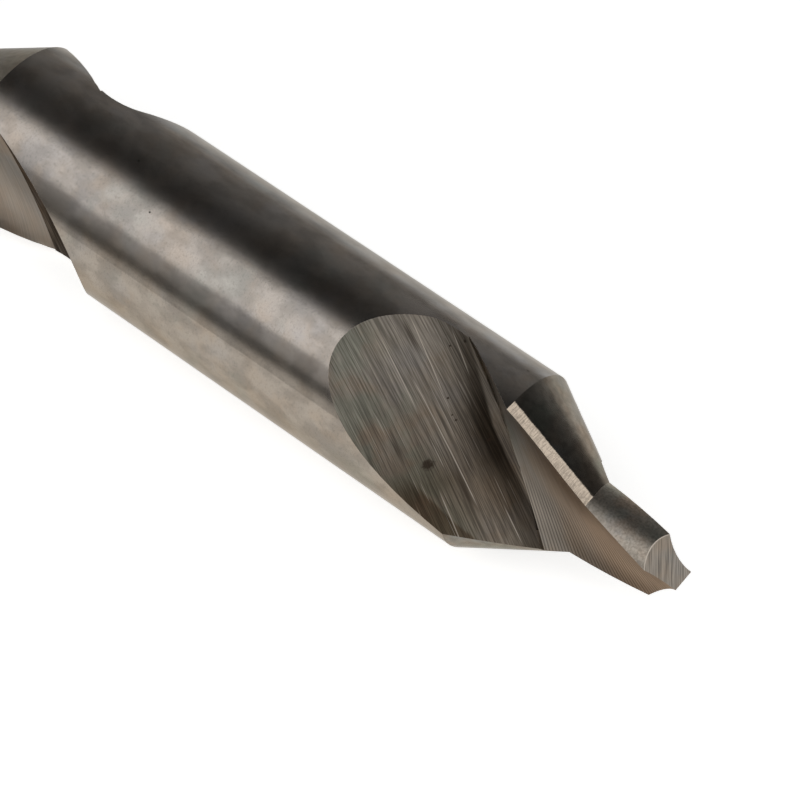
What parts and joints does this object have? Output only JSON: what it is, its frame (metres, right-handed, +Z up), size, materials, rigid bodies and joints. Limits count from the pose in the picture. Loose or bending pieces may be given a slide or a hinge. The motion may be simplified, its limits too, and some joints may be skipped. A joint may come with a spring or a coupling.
{
  "type": "centre drill",
  "caption": "Double-ended combined drill and countersink: a short round steel bar with a thin fluted pilot and a 60 degree cone at each end.",
  "frame": {"origin": "on the drill's axis at mid length, which is the middle of the plain shank", "axes": "+X along the drill's axis towards one point, +Z up with the drill lying level; the other point is at -X"},
  "size_m": [0.055, 0.01, 0.01],
  "materials": {
    "ground_steel": "ground bright steel with faint oxide tints"
  },
  "bodies": {
    "root": {"centre_drill": "ground_steel"}
  },
  "joints": []
}
